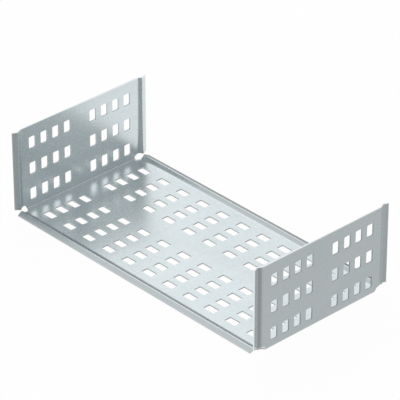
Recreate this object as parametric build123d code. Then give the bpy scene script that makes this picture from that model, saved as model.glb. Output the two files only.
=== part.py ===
import os
from math import radians, sin, tan

from build123d import *

# Cable tray connector: one galvanised sheet, slotted all over, folded up into a channel and beaded at both ends.
# X runs across the tray, Y along it and Z up. The origin is the middle of the floor, on its underside.

# Sheet and channel
sheet = 1.2
width = 295.0  # over the outside of both walls
length = 150.0  # along the tray
height = 80.0  # from the underside to the top edge of the walls
fold_radius = 1.5  # inside of the fold between floor and wall

# Stiffening bead, a shallow V pressed into the channel along each free end
bead_rise = 2.4  # to where the flanks would meet
inner_flank_angle = 35.0  # towards the panel, in degrees
outer_flank_angle = 23.5  # towards the edge
edge_rise = 0.3  # the bead's edge stays this far out of the panel
foot_radius = 6.5  # middle of the sheet, where the bead leaves the panel
ridge_radius = 1.5  # middle of the sheet

# Round corner relief, which keeps the fold and the two beads apart
relief_margin = 1.8  # beyond the fold
relief_inset = 9.3  # from the end of the sheet to the centre of the relief's round inner end

# Slots, in two groups of columns with a plain band across the middle
floor_slot_length = 12.0
wall_slot_length = 11.4
slot_width = 7.2
slot_corner = 0.8  # flat across each corner, in place of a 1.2 mm round
row_pitch = 25.0  # across the floor and up the walls
column_pitch = 13.0  # along the tray
middle_pitch = 28.8  # between the two columns beside the plain band
lowest_row = 13.4  # on the walls, above the underside
slot_land = 4.0  # least plain sheet between a slot and a fold, bead or edge

# The middle of the sheet, as the folds and beads see it
half_sheet = sheet / 2
wall_x = width / 2 - half_sheet
fold_outside = fold_radius + sheet
relief_radius = fold_outside + relief_margin

# Along Y, the bead's tip, ridge and foot. The cut edge stands square to the flank, so its corner sets the length.
bead_tip = length / 2 - half_sheet * sin(radians(outer_flank_angle))
bead_ridge = bead_tip - (bead_rise - edge_rise) / tan(radians(outer_flank_angle))
bead_foot = bead_ridge - bead_rise / tan(radians(inner_flank_angle))
flat_end = bead_foot - foot_radius * tan(radians(inner_flank_angle / 2))


# As many slots of one pitch as a run of plain sheet takes, its first slot's centre at the start
def slots_in(run, pitch):
    return int(run / pitch) + 1


row_room = wall_x - fold_outside - slot_land - floor_slot_length / 2
floor_rows = slots_in(2 * row_room, row_pitch)
wall_rows = slots_in(height - lowest_row - slot_land - wall_slot_length / 2, row_pitch)
group_columns = slots_in(flat_end - middle_pitch / 2 - slot_land - slot_width / 2, column_pitch)


# Section of the floor and of each wall: flat between two beads, which rise towards the channel
def panel_section():
    right = [(bead_foot, 0), (bead_ridge, bead_rise), (bead_tip, edge_rise)]
    left = [(-y, rise) for y, rise in reversed(right)]
    rounding = [ridge_radius, foot_radius, foot_radius, ridge_radius]
    middle_line = FilletPolyline(*left, *right, radius=rounding)
    return trace(middle_line, line_width=sheet)


# Local x of the section lies along Y, and its rise points into the channel
def floor_panel():
    half_run = width / 2 - fold_outside
    plane = Plane(origin=(0, 0, half_sheet), x_dir=(0, 1, 0), z_dir=(1, 0, 0))
    return extrude(plane * panel_section(), amount=half_run, both=True)


def left_wall():
    plane = Plane(origin=(-wall_x, 0, fold_outside), x_dir=(0, -1, 0), z_dir=(0, 0, 1))
    return extrude(plane * panel_section(), amount=height - fold_outside)


# Quarter ring that joins the floor to the left wall, as long as the flat of the panels until the reliefs cut it
def left_fold():
    plane = Plane(origin=(fold_outside - width / 2, 0, fold_outside), x_dir=(1, 0, 0), z_dir=(0, 1, 0))
    ring = Circle(fold_outside) - Circle(fold_radius)
    corner = Pos(-fold_outside / 2, fold_outside / 2) * Rectangle(fold_outside, fold_outside)
    return extrude(plane * (ring & corner), amount=flat_end, both=True)


# Cutters for both groups of slots on a plane, with rows along its x and columns along its y
def slots(plane, rows, slot_length, depth):
    outline = chamfer(Rectangle(slot_length, slot_width).vertices(), slot_corner)
    slot = extrude(outline, amount=depth, both=True)
    group_middle = middle_pitch / 2 + (group_columns - 1) * column_pitch / 2
    groups = [Pos(Y=-group_middle), Pos(Y=group_middle)]
    cells = GridLocations(row_pitch, column_pitch, rows, group_columns)
    return [plane * group * cell * slot for group in groups for cell in cells]


def floor_slots():
    return slots(Plane((0, 0, half_sheet)), floor_rows, floor_slot_length, sheet)


# The walls' slots face each other, so each cutter goes through both
def wall_slots():
    middle = lowest_row + (wall_rows - 1) * row_pitch / 2
    plane = Plane(origin=(0, 0, middle), x_dir=(0, 0, 1), z_dir=(1, 0, 0))
    return slots(plane, wall_rows, wall_slot_length, width)


# Round at its inner end, open at the sheet's edge, and centred where the middles of floor and wall would meet
def corner_relief():
    reach = relief_inset + relief_radius
    run = Rot(X=-90) * Cylinder(relief_radius, reach, align=(Align.CENTER, Align.CENTER, Align.MIN))
    return Pos(-wall_x, length / 2 - relief_inset, half_sheet) * (Sphere(relief_radius) + run)


def tray_connector():
    left = left_wall() + left_fold()
    channel = floor_panel() + left + mirror(left, about=Plane.YZ)
    relief = corner_relief()
    left_reliefs = relief + mirror(relief, about=Plane.XZ)
    channel -= left_reliefs + mirror(left_reliefs, about=Plane.YZ)
    return channel - floor_slots() - wall_slots()


os.makedirs("parts", exist_ok=True)
export_step(tray_connector(), "parts/tray_connector.step")
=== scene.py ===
from math import cos, pi, radians, sin

import bpy
from mathutils import Matrix, Vector


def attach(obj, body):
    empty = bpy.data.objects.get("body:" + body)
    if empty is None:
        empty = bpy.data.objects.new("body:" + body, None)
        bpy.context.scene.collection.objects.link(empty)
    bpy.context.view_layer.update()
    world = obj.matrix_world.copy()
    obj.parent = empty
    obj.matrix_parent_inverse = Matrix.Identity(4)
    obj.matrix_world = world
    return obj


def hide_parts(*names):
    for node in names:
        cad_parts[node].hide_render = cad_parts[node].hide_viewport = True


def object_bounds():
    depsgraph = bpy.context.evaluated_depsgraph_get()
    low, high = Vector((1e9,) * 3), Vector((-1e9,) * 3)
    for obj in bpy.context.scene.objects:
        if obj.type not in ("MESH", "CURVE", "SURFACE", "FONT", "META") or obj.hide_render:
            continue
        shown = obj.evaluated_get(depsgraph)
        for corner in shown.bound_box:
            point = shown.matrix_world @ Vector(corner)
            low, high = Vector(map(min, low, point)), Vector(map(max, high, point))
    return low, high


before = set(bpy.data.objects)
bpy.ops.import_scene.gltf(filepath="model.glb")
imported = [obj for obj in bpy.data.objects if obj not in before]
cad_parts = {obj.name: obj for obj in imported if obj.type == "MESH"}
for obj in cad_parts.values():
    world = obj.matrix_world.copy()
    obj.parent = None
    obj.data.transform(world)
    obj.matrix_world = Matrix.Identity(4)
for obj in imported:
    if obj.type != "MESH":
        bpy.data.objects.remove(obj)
cadLow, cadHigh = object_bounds()
print("frame loaded, the connector's box is", [round(x, 4) for x in cadHigh - cadLow])


# an output socket: arithmetic on it adds Math nodes to its tree
class Link:
    def __init__(self, graph, socket):
        self.graph = graph
        self.socket = socket

    def output(self, name):
        return Link(self.graph, self.socket.node.outputs[name])

    def math(self, operation, *values):
        return self.graph.node("ShaderNodeMath", {"operation": operation}, dict(enumerate(values)))

    def __add__(self, other):
        return self.math("ADD", self, other)

    __radd__ = __add__

    def __sub__(self, other):
        return self.math("SUBTRACT", self, other)

    def __rsub__(self, other):
        return self.math("SUBTRACT", other, self)

    def __mul__(self, other):
        return self.math("MULTIPLY", self, other)

    __rmul__ = __mul__

    def __truediv__(self, other):
        return self.math("DIVIDE", self, other)

    def __rtruediv__(self, other):
        return self.math("DIVIDE", other, self)

    def __gt__(self, other):
        return self.math("GREATER_THAN", self, other)

    def __abs__(self):
        return self.math("ABSOLUTE", self)

    def sine(self):
        return self.math("SINE", self)

    def tangent(self):
        return self.math("TANGENT", self)

    def root(self):
        return self.math("SQRT", self)

    def least(self, other):
        return self.math("MINIMUM", self, other)

    def most(self, other):
        return self.math("MAXIMUM", self, other)


# a node tree that is filled one node at a time
class Graph:
    def __init__(self, tree):
        self.tree = tree
        tree.nodes.clear()

    def node(self, kind, settings=None, sockets=None):
        made = self.tree.nodes.new(kind)
        for name, value in (settings or {}).items():
            setattr(made, name, value)
        for name, value in (sockets or {}).items():
            self.feed(made.inputs[name], value)
        return Link(self, made.outputs[0]) if made.outputs else None

    def feed(self, socket, value):
        if isinstance(value, list):
            for each in value:
                self.feed(socket, each)
        elif isinstance(value, Link):
            self.tree.links.new(value.socket, socket)
        else:
            socket.default_value = value

    def point(self, x=0.0, y=0.0, z=0.0):
        return self.node("ShaderNodeCombineXYZ", {}, {"X": x, "Y": y, "Z": z})


# 0 to 1 as the value goes from low to high, smooth at both ends
def softened(graph, value, low, high):
    return graph.node(
        "ShaderNodeMapRange",
        {"interpolation_type": "SMOOTHSTEP"},
        {"Value": value, "From Min": low, "From Max": high},
    )


# sizes of the real sheet, in metres; the overall ones are read from the bounds of model.glb
sheetSizes = {
    "Width": cadHigh.x - cadLow.x,
    "Length": cadHigh.y - cadLow.y,
    "Height": cadHigh.z - cadLow.z,
    "Sheet": 0.0012,
    "Fold Radius": 0.0015,
    "Bead Rise": 0.0024,  # to where the flanks would meet
    "Inner Flank Angle": radians(35),
    "Outer Flank Angle": radians(23.5),
    "Edge Rise": 0.0003,
    "Foot Radius": 0.0065,  # this and the next are of the middle of the sheet
    "Ridge Radius": 0.0015,
    "Pinched Reach": 0.00375,  # from the corner where the middles of floor and wall would meet
}
slotSizes = {
    "Width": cadHigh.x - cadLow.x,
    "Sheet": sheetSizes["Sheet"],
    "Floor Slot Length": 0.012,
    "Wall Slot Length": 0.0114,
    "Slot Width": 0.0072,
    "Slot Corner": 0.0012,
    "Row Pitch": 0.025,
    "Column Pitch": 0.013,
    "Middle Pitch": 0.0288,
    "Lowest Row": 0.0134,
    "Floor Rows": 11,
    "Wall Rows": 3,
    "Group Columns": 4,
    "Relief Radius": 0.0045,
    "Relief Start": 0.0657,  # from the middle of the tray to the centre of its round inner end
    "Relief Reach": 0.0138,
}
# steps round each curve
steps = {"fold": 14, "bead": 8, "slotCorner": 4, "reliefAround": 48, "reliefRings": 24}


# a geometry node group with one geometry input and named number inputs
def geometryTree(name, sizes):
    tree = bpy.data.node_groups.new(name, "GeometryNodeTree")
    tree.interface.new_socket("Geometry", in_out="INPUT", socket_type="NodeSocketGeometry")
    for label, value in sizes.items():
        kind = "NodeSocketInt" if isinstance(value, int) else "NodeSocketFloat"
        tree.interface.new_socket(label, in_out="INPUT", socket_type=kind)
    tree.interface.new_socket("Geometry", in_out="OUTPUT", socket_type="NodeSocketGeometry")
    graph = Graph(tree)
    start = graph.node("NodeGroupInput")
    return graph, {label: start.output(label) for label in ["Geometry", *sizes]}


# realized geometry with its material is what leaves every tree
def closeTree(graph, geometry, material, cutMaterial=None):
    real = graph.node("GeometryNodeRealizeInstances", {}, {"Geometry": geometry})
    finished = graph.node("GeometryNodeSetMaterial", {}, {"Geometry": real, "Material": material})
    if cutMaterial:
        isCut = graph.node(
            "GeometryNodeInputNamedAttribute", {"data_type": "BOOLEAN"}, {"Name": "punched"}
        )
        finished = graph.node(
            "GeometryNodeSetMaterial", {}, {"Geometry": finished, "Selection": isCut, "Material": cutMaterial}
        )
    graph.node("NodeGroupOutput", {}, {"Geometry": finished})


def addTree(piece, graph, sizes):
    modifier = piece.modifiers.new(graph.tree.name, "NODES")
    modifier.node_group = graph.tree
    sockets = {s.name: s.identifier for s in graph.tree.interface.items_tree if s.in_out == "INPUT"}
    for label, value in sizes.items():
        modifier[sockets[label]] = value


# an open polyline of a few points, each placed from its index and then rounded
def roundedLine(graph, count, place, radius, stepCount):
    index = graph.node("GeometryNodeInputIndex")
    points = graph.node("GeometryNodeMeshLine", {}, {"Count": count})
    placed = graph.node("GeometryNodeSetPosition", {}, {"Geometry": points, "Position": place(index)})
    line = graph.node("GeometryNodeMeshToCurve", {}, {"Mesh": placed})
    return graph.node(
        "GeometryNodeFilletCurve", {"mode": "POLY"}, {"Curve": line, "Radius": radius, "Count": stepCount}
    )


# middle surface of the folded sheet: the beaded section is swept down one wall, across the floor
# and up the other
def foldedSheetTree(material):
    graph, size = geometryTree("foldedSheet", sheetSizes)
    halfSheet = size["Sheet"] / 2
    outerAngle, innerAngle = size["Outer Flank Angle"], size["Inner Flank Angle"]
    tip = size["Length"] / 2 - halfSheet * outerAngle.sine()
    outerFlank = (size["Bead Rise"] - size["Edge Rise"]) / outerAngle.tangent()
    innerFlank = size["Bead Rise"] / innerAngle.tangent()
    foot = tip - outerFlank - innerFlank

    def channelPoint(index):
        right = (index > 1.5) * 2 - 1
        top = abs(index - 1.5) > 1
        rise = top * (size["Height"] - halfSheet)
        return graph.point(x=right * (size["Width"] / 2 - halfSheet), z=halfSheet + rise)

    # either side of the middle: foot, ridge and edge
    def beadPoint(index):
        fromMiddle = index - 2.5
        step = abs(fromMiddle)
        along = foot + (step > 1) * innerFlank + (step > 2) * outerFlank
        rise = (step > 1) * size["Bead Rise"] - (step > 2) * (size["Bead Rise"] - size["Edge Rise"])
        return graph.point(x=rise, y=fromMiddle / step * along)

    channel = roundedLine(graph, 4, channelPoint, size["Fold Radius"] + halfSheet, steps["fold"])
    fromMiddle = abs(graph.node("GeometryNodeInputIndex") - 2.5)
    rounding = size["Foot Radius"] + (fromMiddle > 1) * (size["Ridge Radius"] - size["Foot Radius"])
    section = roundedLine(graph, 6, beadPoint, rounding, steps["bead"])
    swept = graph.node("GeometryNodeCurveToMesh", {}, {"Curve": channel, "Profile Curve": section})

    # the beads would pinch in the folds, where the reliefs are, so those faces go
    place = graph.node("ShaderNodeSeparateXYZ", {}, {"Vector": graph.node("GeometryNodeInputPosition")})
    side = abs(place.output("X")) - (size["Width"] / 2 - halfSheet)
    up = place.output("Z") - halfSheet
    reach = (side * side + up * up).root()
    flatEnd = foot - size["Foot Radius"] * (innerAngle / 2).tangent()
    pinched = (size["Pinched Reach"] > reach) * (abs(place.output("Y")) > flatEnd)
    opened = graph.node(
        "GeometryNodeDeleteGeometry", {"domain": "FACE"}, {"Geometry": swept, "Selection": pinched}
    )
    closeTree(graph, opened, material)
    return graph


def moved(graph, geometry, shift, turn=(0, 0, 0)):
    sockets = {"Geometry": geometry, "Translation": shift, "Rotation": turn}
    return graph.node("GeometryNodeTransform", {}, sockets)


# cutters for the slots of the floor and both walls, and for the round relief at each corner
def cutSheetTree(material, cutMaterial):
    graph, size = geometryTree("cutSheet", slotSizes)

    def solidSlot(length, depth):
        outline = graph.node(
            "GeometryNodeCurvePrimitiveQuadrilateral", {}, {"Width": length, "Height": size["Slot Width"]}
        )
        rounded = graph.node(
            "GeometryNodeFilletCurve",
            {"mode": "POLY"},
            {"Curve": outline, "Radius": size["Slot Corner"], "Count": steps["slotCorner"]},
        )
        rail = graph.node(
            "GeometryNodeCurvePrimitiveLine",
            {},
            {"Start": graph.point(z=depth * -0.5), "End": graph.point(z=depth * 0.5)},
        )
        return graph.node(
            "GeometryNodeCurveToMesh", {}, {"Curve": rail, "Profile Curve": rounded, "Fill Caps": True}
        )

    def slotField(rows, length, depth):
        columns = size["Group Columns"]
        cells = graph.node(
            "GeometryNodeMeshGrid",
            {},
            {
                "Size X": (rows - 1) * size["Row Pitch"],
                "Size Y": (columns - 1) * size["Column Pitch"],
                "Vertices X": rows,
                "Vertices Y": columns,
            },
        )
        middle = size["Middle Pitch"] / 2 + (columns - 1) * size["Column Pitch"] / 2
        groups = [moved(graph, cells, graph.point(y=side * middle)) for side in (-1, 1)]
        points = graph.node("GeometryNodeJoinGeometry", {}, {"Geometry": groups})
        return graph.node(
            "GeometryNodeInstanceOnPoints", {}, {"Points": points, "Instance": solidSlot(length, depth)}
        )

    halfSheet = size["Sheet"] / 2
    throughFloor = size["Sheet"] * 3
    floorField = slotField(size["Floor Rows"], size["Floor Slot Length"], throughFloor)
    floorSlots = moved(graph, floorField, graph.point(z=halfSheet))
    throughBothWalls = size["Width"] * 1.1
    wallField = slotField(size["Wall Rows"], size["Wall Slot Length"], throughBothWalls)
    wallMiddle = size["Lowest Row"] + (size["Wall Rows"] - 1) * size["Row Pitch"] / 2
    wallSlots = moved(graph, wallField, graph.point(z=wallMiddle), (0, pi / 2, 0))

    # a ball whose outer half is drawn out past the edge of the sheet
    ball = graph.node(
        "GeometryNodeMeshUVSphere",
        {},
        {"Segments": steps["reliefAround"], "Rings": steps["reliefRings"], "Radius": size["Relief Radius"]},
    )
    place = graph.node("ShaderNodeSeparateXYZ", {}, {"Vector": graph.node("GeometryNodeInputPosition")})
    justAboveMiddle = 0.00001
    outerHalf = place.output("Z") > justAboveMiddle
    offset = graph.point(z=outerHalf * size["Relief Reach"])
    drawn = graph.node("GeometryNodeSetPosition", {}, {"Geometry": ball, "Offset": offset})
    wallX = size["Width"] / 2 - halfSheet
    reliefs = []
    for right, back in ((-1, -1), (-1, 1), (1, -1), (1, 1)):
        corner = graph.point(x=right * wallX, y=back * size["Relief Start"], z=halfSheet)
        reliefs.append(moved(graph, drawn, corner, (-back * pi / 2, 0, 0)))
    cutters = graph.node("GeometryNodeJoinGeometry", {}, {"Geometry": [floorSlots, wallSlots, *reliefs]})
    realCutters = graph.node("GeometryNodeRealizeInstances", {}, {"Geometry": cutters})
    marked = graph.node(
        "GeometryNodeStoreNamedAttribute",
        {"data_type": "BOOLEAN", "domain": "FACE"},
        {"Geometry": realCutters, "Name": "punched", "Value": True},
    )
    cut = graph.node(
        "GeometryNodeMeshBoolean",
        {"operation": "DIFFERENCE", "solver": "EXACT"},
        {"Mesh 1": size["Geometry"], "Mesh 2": marked},
    )
    closeTree(graph, cut, material, cutMaterial)
    return graph


# the sheared edges are broken a little, so that they catch the light
edgeBreak = {"width": 0.00012, "segments": 2, "angle": radians(35)}


def buildConnector(material, cutMaterial):
    mesh = bpy.data.meshes.new("connectorSheet")
    builder = bpy.data.objects.new("connectorBuilder", mesh)
    bpy.context.scene.collection.objects.link(builder)
    addTree(builder, foldedSheetTree(material), sheetSizes)
    thicken = builder.modifiers.new("thickness", "SOLIDIFY")
    thicken.thickness = sheetSizes["Sheet"]
    thicken.offset = 0
    thicken.use_even_offset = True
    addTree(builder, cutSheetTree(material, cutMaterial), slotSizes)
    bevel = builder.modifiers.new("edgeBreak", "BEVEL")
    bevel.width = edgeBreak["width"]
    bevel.segments = edgeBreak["segments"]
    bevel.limit_method = "ANGLE"
    bevel.angle_limit = edgeBreak["angle"]
    bevel.harden_normals = True
    seen = builder.evaluated_get(bpy.context.evaluated_depsgraph_get())
    finished = bpy.data.meshes.new_from_object(seen)
    finished.name = "slottedConnector"
    bpy.data.objects.remove(builder)
    piece = bpy.data.objects.new("slottedConnector", finished)
    bpy.context.scene.collection.objects.link(piece)
    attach(piece, "root")
    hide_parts("tray_connector")
    print("connector built,", len(finished.vertices), "vertices and", len(finished.polygons), "faces")


# hot-dip zinc: small crystals, clouds of duller and brighter metal, rolling marks along the tray, and a
# painted highlight along the free edges
zinc = {
    "dull": (0.702, 0.768, 0.79),
    "bright": (0.75, 0.818, 0.84),
    "edgeHighlight": (0.81, 0.85, 0.875),  # painted highlight on the corners of the free edges
    "roughness": (0.245, 0.3),  # of bright and dull metal
    "edgeHighlightRoughness": 0.2,
    "spangleSize": 0.0024,
    "fraySize": 0.00096,  # of the crystals' borders
    "frayWidth": 0.0012,
    "spangleHeight": 0.0000035,
    "spangleTint": 0.4,  # this and the next two are shares of the step from dull to bright
    "cloudTint": 0.38,
    "rollingTint": 0.16,
    "cloudSize": 0.055,
    "cloudRange": (0.3, 0.7),  # of the noise, from no tint to all of it
    "rollingMarks": (260, 9, 260),  # per metre: close together, and long along the tray
    "rollingRange": (0.25, 0.75),
    "waveSize": 0.08,
    "waveHeight": 0.0003,
    "edgeHighlightWidth": 0.0008,
    "edgeHighlightPatch": 0.01,  # size of the places where the painted edge highlight is stronger than elsewhere
}
# sheared metal in the slots and reliefs: a burnished band where the punch went in, torn grey steel below;
# both tints are also darkened as painted shade inside the slots and reliefs
punched = {
    "burnished": (0.6, 0.64, 0.66),
    "torn": (0.42, 0.45, 0.465),
    "roughness": (0.3, 0.5),  # of burnished and torn metal
    "burnishedDepth": 0.00055,
    "burnishedWander": 0.0006,  # how far the streaks move its border
    "borderWidth": 0.00016,
    "streakSize": 0.0004,
    "tearHeight": 0.00002,
}


def noise(graph, place, size, detail=2.0):
    return graph.node("ShaderNodeTexNoise", {}, {"Vector": place, "Scale": 1 / size, "Detail": detail})


def blended(graph, factor, low, high):
    sockets = {0: factor, 6: low, 7: high}
    return graph.node("ShaderNodeMix", {"data_type": "RGBA"}, sockets).output(2)


# a new material, its graph, and the place on the piece as a vector and as three numbers
def newFinish(name):
    material = bpy.data.materials.new(name)
    material.use_nodes = True
    graph = Graph(material.node_tree)
    place = graph.node("ShaderNodeTexCoord").output("Object")
    spot = graph.node("ShaderNodeSeparateXYZ", {}, {"Vector": place})
    return material, graph, place, spot


def finishMetal(graph, tint, roughness, height):
    bump = graph.node("ShaderNodeBump", {}, {"Strength": 1.0, "Distance": 1.0, "Height": height})
    surface = graph.node(
        "ShaderNodeBsdfPrincipled",
        {},
        {"Base Color": tint, "Metallic": 1.0, "Roughness": roughness, "Normal": bump},
    )
    graph.node("ShaderNodeOutputMaterial", {}, {"Surface": surface})


def zincFinish():
    material, graph, place, spot = newFinish("galvanisedZinc")
    fray = noise(graph, place, zinc["fraySize"]).output("Color")
    spread = (zinc["frayWidth"],) * 3
    frayed = graph.node(
        "ShaderNodeVectorMath", {"operation": "MULTIPLY_ADD"}, {0: fray, 1: spread, 2: place}
    )
    crystal = graph.node("ShaderNodeTexVoronoi", {}, {"Vector": frayed, "Scale": 1 / zinc["spangleSize"]})
    spangle = graph.node("ShaderNodeSeparateColor", {}, {"Color": crystal.output("Color")})
    cloud = softened(graph, noise(graph, place, zinc["cloudSize"], 4.0), *zinc["cloudRange"])
    along = graph.node("ShaderNodeMapping", {}, {"Vector": place, "Scale": zinc["rollingMarks"]})
    rolled = softened(graph, noise(graph, along, 1.0, 3.0), *zinc["rollingRange"])
    shade = spangle * zinc["spangleTint"] + cloud * zinc["cloudTint"] + rolled * zinc["rollingTint"]

    # painted highlight: the corners of the free edges are made lighter and smoother, more in some places than
    # in others
    toEnd = cadHigh.y - abs(spot.output("Y"))
    toEdge = toEnd.least(cadHigh.z - spot.output("Z"))
    width = zinc["edgeHighlightWidth"]
    reach = noise(graph, place, zinc["edgeHighlightPatch"], 3.0) * 2 * width
    edgeHighlight = softened(graph, reach - toEdge, -width / 2, width / 2)

    plain = blended(graph, shade, (*zinc["dull"], 1), (*zinc["bright"], 1))
    tint = blended(graph, edgeHighlight, plain, (*zinc["edgeHighlight"], 1))
    smooth, rough = zinc["roughness"]
    plainRoughness = rough - shade * (rough - smooth)
    roughness = plainRoughness + edgeHighlight * (zinc["edgeHighlightRoughness"] - plainRoughness)
    wave = noise(graph, place, zinc["waveSize"], 1.0)
    height = wave * zinc["waveHeight"] + crystal.output("Distance") * -zinc["spangleHeight"]
    finishMetal(graph, tint, roughness, height)
    return material


def punchedShadedFinish():
    material, graph, place, spot = newFinish("punchedEdgeAndShade")
    sheet = sheetSizes["Sheet"]
    slack = sheet / 20  # keeps the wall's inner edge with the wall
    floorDepth = sheet - spot.output("Z")
    wallDepth = abs(spot.output("X")) - (cadHigh.x - sheet)
    onWall = wallDepth > -slack
    depth = floorDepth + onWall * (wallDepth - floorDepth)
    streak = noise(graph, place, punched["streakSize"], 3.0)
    edge = punched["burnishedDepth"] + (streak - 0.5) * punched["burnishedWander"]
    halfBorder = punched["borderWidth"] / 2
    torn = softened(graph, depth - edge, -halfBorder, halfBorder)
    # the burnished and torn tints hold the steel's own colour and painted shade for the slots and reliefs
    tint = blended(graph, torn, (*punched["burnished"], 1), (*punched["torn"], 1))
    smooth, rough = punched["roughness"]
    finishMetal(graph, tint, smooth + torn * (rough - smooth), streak * torn * punched["tearHeight"])
    return material


buildConnector(zincFinish(), punchedShadedFinish())


# the photograph's view: from the front right and far off
cameraView = {
    "azimuth": 47.155,  # this and the next two in degrees
    "elevation": 31.081,
    "roll": -0.075,
    "aim": (-0.00094, 0.00472, 0.04647),
    "distance": 2.5099,
    "lens": 273.1,
}


def addCamera():
    azimuth, elevation = radians(cameraView["azimuth"]), radians(cameraView["elevation"])
    back = Vector((sin(azimuth) * cos(elevation), -cos(azimuth) * cos(elevation), sin(elevation)))
    camera = bpy.data.objects.new("camera", bpy.data.cameras.new("camera"))
    camera.data.lens = cameraView["lens"]
    camera.data.sensor_width = 36
    camera.data.clip_end = 100
    camera.location = Vector(cameraView["aim"]) + back * cameraView["distance"]
    upright = (-back).to_track_quat("-Z", "Y").to_matrix()
    camera.rotation_euler = (upright @ Matrix.Rotation(radians(cameraView["roll"]), 3, "Z")).to_euler()
    bpy.context.scene.collection.objects.link(camera)
    bpy.context.scene.camera = camera
    print("camera set", cameraView["distance"], "m away")


addCamera()


# a light tent: a world of softboxes above and a lit table below, which the metal mirrors
studio = {
    "overhead": 0.43,  # radiance between the softboxes
    "softboxes": [  # each is direction, radiance, half angle and softness in degrees
        ((-0.63, -0.05, 0.77), 0.68, 28, 24),  # high on the left
        ((0.63, 0.5, 0.58), 0.62, 20, 12),  # high behind, on the right
        ((0.66, 0.72, 0.2), 0.28, 16, 12),  # dim, under that one
        ((-0.65, 0.75, 0.0), 0.1, 14, 8),  # dark gap behind, on the left
        ((-0.63, 0.76, 0.19), 0.45, 6, 6),  # spot just above the gap
        ((-0.628, 0.451, 0.634), 1.1, 17, 5),  # main box, high behind, on the left
        ((-0.1, -0.85, 0.52), 0.9, 28, 24),  # in front
    ],
    "horizon": 0.2,
    "horizonFade": (-0.02, 0.17),  # sines of the heights between which the dark horizon fades out
    "table": 0.5,  # radiance of the lower half, with its own patches
    "tablePatches": [
        ((0.63, 0.58, -0.52), 0.57, 24, 16),  # behind, on the right
        ((0.76, -0.34, -0.52), 0.34, 18, 16),  # darker, on the right
        ((-0.22, -0.83, -0.52), 0.95, 36, 20),  # in front
    ],
    "tableFade": (-0.05, -0.25),  # sines of the heights between which the table comes in
    "keyTowards": (-0.63, 0.58, 0.52),
    "keyStrength": 1.6,
    "keySoftness": 40,  # degrees across
    "floorColour": (0.86, 0.87, 0.88),
    "floorSize": 12.0,  # metres
    "floorDrop": 0.0003,  # metres under the connector
    "whiteForCamera": 0.97,  # the rest is lit paper, which keeps the shadow
    "glossIor": 1.45,  # a flat look along the table dims the pool
    "pool": 0.955,  # light on the table behind the left wall, as the metal sees it
    "poolEdgeX": (0.12, 0.0),  # metres between which it fades in
    "poolEdgeY": (0.05, 0.09),
    "throughSlots": 0.55,  # share of it that shows through the floor's slots
    "rim": 0.002,  # metres over which that fades at the floor's edges
}


# round patches of light, each painted over the ones before
def painted(graph, direction, light, patches):
    for towards, strength, half, soft in patches:
        facing = graph.node(
            "ShaderNodeVectorMath",
            {"operation": "DOT_PRODUCT"},
            {0: direction, 1: tuple(Vector(towards).normalized())},
        ).output("Value")
        inside = softened(graph, facing, cos(radians(half + soft / 2)), cos(radians(half - soft / 2)))
        light = inside * (strength - light) + light
    return light


def addWorld():
    world = bpy.data.worlds.new("studio")
    world.use_nodes = True
    bpy.context.scene.world = world
    graph = Graph(world.node_tree)
    direction = graph.node("ShaderNodeTexCoord").output("Generated")
    height = graph.node("ShaderNodeSeparateXYZ", {}, {"Vector": direction}).output("Z")
    tent = painted(graph, direction, studio["overhead"], studio["softboxes"])
    tent = softened(graph, height, *studio["horizonFade"]) * (tent - studio["horizon"]) + studio["horizon"]
    table = painted(graph, direction, studio["table"], studio["tablePatches"])
    light = softened(graph, height, *studio["tableFade"]) * (table - tent) + tent
    seen = graph.node("ShaderNodeLightPath").output("Is Camera Ray")
    strength = light * (1 - seen) + seen
    background = graph.node("ShaderNodeBackground", {}, {"Color": (1, 1, 1, 1), "Strength": strength})
    graph.node("ShaderNodeOutputWorld", {}, {"Surface": background})


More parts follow.
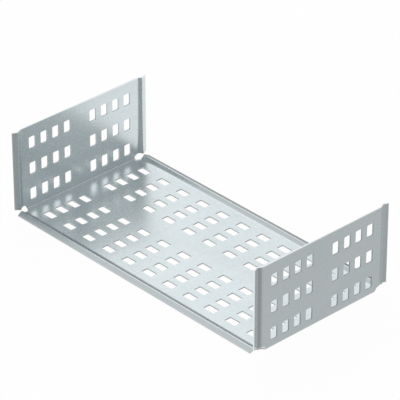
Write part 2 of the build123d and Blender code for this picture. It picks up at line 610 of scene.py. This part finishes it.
# soft key from behind the left wall; it lights the floor, while the metal mirrors the softboxes
def addKey():
    lamp = bpy.data.lights.new("key", "SUN")
    lamp.energy = studio["keyStrength"]
    lamp.angle = radians(studio["keySoftness"])
    key = bpy.data.objects.new("key", lamp)
    key.rotation_euler = Vector(studio["keyTowards"]).to_track_quat("Z", "Y").to_euler()
    key.visible_glossy = False
    bpy.context.scene.collection.objects.link(key)


def emission(graph, strength):
    return graph.node("ShaderNodeEmission", {}, {"Color": (1, 1, 1, 1), "Strength": strength})


def mixed(graph, factor, first, second):
    return graph.node("ShaderNodeMixShader", {}, {0: factor, 1: first, 2: second})


# white paper that keeps the connector's shadow; the metal sees through it to the world's table,
# apart from a pool of light behind the left wall and what shows through the floor's slots
def floorFinish():
    material, graph, place, spot = newFinish("studioFloor")
    x, y = spot.output("X"), spot.output("Y")
    rim = studio["rim"]
    behind = softened(graph, x, *studio["poolEdgeX"]) * softened(graph, y, *studio["poolEdgeY"])
    withinWidth = softened(graph, abs(x), cadHigh.x + rim, cadHigh.x - rim)
    withinLength = softened(graph, abs(y), cadHigh.y + rim, cadHigh.y - rim)
    lit = behind.most(withinWidth * withinLength * studio["throughSlots"])
    gloss = graph.node("ShaderNodeFresnel", {}, {"IOR": studio["glossIor"]})
    below = graph.node("ShaderNodeBsdfTransparent")
    forMetal = mixed(graph, lit * (1 - gloss), below, emission(graph, studio["pool"]))
    rays = graph.node("ShaderNodeLightPath")
    paper = graph.node("ShaderNodeBsdfDiffuse", {}, {"Color": (*studio["floorColour"], 1)})
    white = rays.output("Is Camera Ray") * studio["whiteForCamera"]
    shown = mixed(graph, white, paper, emission(graph, 1.0))
    surface = mixed(graph, rays.output("Is Glossy Ray"), shown, forMetal)
    graph.node("ShaderNodeOutputMaterial", {}, {"Surface": surface})
    return material


def addFloor():
    half, low = studio["floorSize"] / 2, -studio["floorDrop"]
    corners = [(-half, -half, low), (half, -half, low), (half, half, low), (-half, half, low)]
    mesh = bpy.data.meshes.new("studioFloor")
    mesh.from_pydata(corners, [], [(0, 1, 2, 3)])
    mesh.materials.append(floorFinish())
    floor = bpy.data.objects.new("studioFloor", mesh)
    bpy.context.scene.collection.objects.link(floor)


addWorld()
addKey()
addFloor()
bpy.context.scene.view_settings.view_transform = "Standard"
print("studio lit by a key and", len(studio["softboxes"]), "softboxes")
